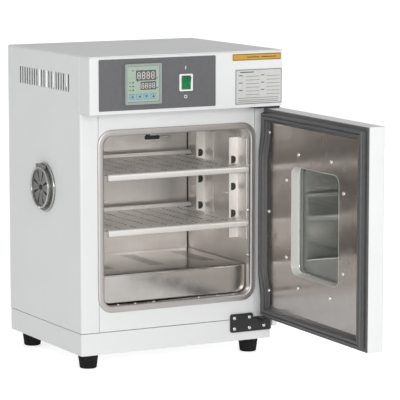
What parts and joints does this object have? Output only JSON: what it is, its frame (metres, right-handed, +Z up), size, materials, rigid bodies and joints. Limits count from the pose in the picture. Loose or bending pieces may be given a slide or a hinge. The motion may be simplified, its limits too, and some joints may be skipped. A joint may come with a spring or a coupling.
{
  "type": "laboratory incubator",
  "caption": "Bench-top incubator: insulated cabinet with stainless chamber, sliding perforated shelves, glazed side-hung door, control panel and rotary air vent.",
  "frame": {"origin": "middle of the footprint of the whole object with its door at rest (open), on the surface it stands on", "axes": "+Z up, +X to the right seen from the front, -Y out of the front of the cabinet"},
  "size_m": [0.417, 0.7186, 0.565],
  "materials": {
    "white_paint": "satin powder coat",
    "stainless": "satin stainless sheet",
    "plated": "bright",
    "black_steel": "satin black",
    "panel_grey": "matt printed film",
    "bezel_grey": "satin",
    "face_green": "satin film, pale green",
    "display_dark": "smoked window",
    "key_blue": "satin",
    "switch_white": "satin",
    "rocker_green": "gloss, translucent green",
    "label_silver": "satin anodised, blank",
    "label_yellow": "printed film, blank",
    "gasket_grey": "soft vinyl",
    "foot_rubber": "matt",
    "rubber": "matt",
    "black_plastic": "moulded grain",
    "cast_metal": "cast, as machined",
    "glass": "clear toughened",
    "glass_wool": "loose fibre"
  },
  "bodies": {
    "cabinet": {"side_panel_left": "white_paint", "side_panel_right": "white_paint", "top_cover": "white_paint", "rear_panel": "white_paint", "plinth": "white_paint", "front_plate": "white_paint", "header_box": "white_paint", "chamber_liner": "stainless", "opening_flange": "stainless", "shelf_standard_front_left": "stainless", "shelf_standard_front_right": "stainless", "shelf_standard_rear_left": "stainless", "shelf_standard_rear_right": "stainless", "heater_guard": "stainless", "heater_element": "stainless", "sensor_probe": "plated", "vent_screw": "plated", "hinge_pin_bottom": "plated", "hinge_pin_top": "plated", "hinge_bracket_bottom": "black_steel", "hinge_bracket_top": "black_steel", "control_panel": "panel_grey", "controller_housing": "bezel_grey", "controller_face": "face_green", "display_upper": "display_dark", "display_lower": "display_dark", "switch_housing": "switch_white", "rating_plate": "label_silver", "caution_label": "label_yellow", "power_inlet": "black_plastic", "fuse_holder": "black_plastic", "power_relay": "black_plastic", "sensor_sleeve": "black_plastic", "vent_base": "cast_metal", "insulation_jacket": "glass_wool", "insulation_rear": "glass_wool", "foot_front_left": "foot_rubber", "foot_front_right": "foot_rubber", "foot_rear_left": "foot_rubber", "foot_rear_right": "foot_rubber"},
    "door": {"door_skin": "white_paint", "door_inner_panel": "stainless", "door_gasket": "gasket_grey", "window_sleeve": "stainless", "window_glass_inner": "glass", "window_seal": "rubber", "window_glass_outer": "glass", "door_insulation": "glass_wool", "door_handle": "black_plastic"},
    "rocker": {"power_rocker": "rocker_green"},
    "damper": {"vent_damper": "cast_metal"},
    "key_1": {"key_1": "key_blue"},
    "key_2": {"key_2": "key_blue"},
    "key_3": {"key_3": "key_blue"},
    "key_4": {"key_4": "key_blue"},
    "shelf_upper": {"shelf_upper": "stainless"},
    "shelf_lower": {"shelf_lower": "stainless"}
  },
  "joints": [
    {"name": "door_hinge", "type": "hinge", "parent": "cabinet", "child": "door", "pos_m": [0.18221, 0.01329, 0.0713], "axis": [0, 0, 1], "range_deg": [-88, 22]},
    {"name": "power_switch", "type": "hinge", "parent": "cabinet", "child": "rocker", "pos_m": [-0.00899, 0.00129, 0.5135], "axis": [-1, 0, 0], "range_deg": [0, 22]},
    {"name": "vent_turn", "type": "hinge", "parent": "cabinet", "child": "damper", "pos_m": [-0.19729, 0.19029, 0.316], "axis": [1, 0, 0], "range_deg": [0, 22.5]},
    {"name": "key_1_press", "type": "slide", "parent": "cabinet", "child": "key_1", "axis": [0, 1, 0], "range_m": [0, 0.0006], "stiffness_N_per_m": 400, "springref_m": -0.001},
    {"name": "key_2_press", "type": "slide", "parent": "cabinet", "child": "key_2", "axis": [0, 1, 0], "range_m": [0, 0.0006], "stiffness_N_per_m": 400, "springref_m": -0.001},
    {"name": "key_3_press", "type": "slide", "parent": "cabinet", "child": "key_3", "axis": [0, 1, 0], "range_m": [0, 0.0006], "stiffness_N_per_m": 400, "springref_m": -0.001},
    {"name": "key_4_press", "type": "slide", "parent": "cabinet", "child": "key_4", "axis": [0, 1, 0], "range_m": [0, 0.0006], "stiffness_N_per_m": 400, "springref_m": -0.001},
    {"name": "shelf_upper_slide", "type": "slide", "parent": "cabinet", "child": "shelf_upper", "axis": [0, -1, 0], "range_m": [0, 0.044]},
    {"name": "shelf_lower_slide", "type": "slide", "parent": "cabinet", "child": "shelf_lower", "axis": [0, -1, 0], "range_m": [0, 0.044]}
  ]
}
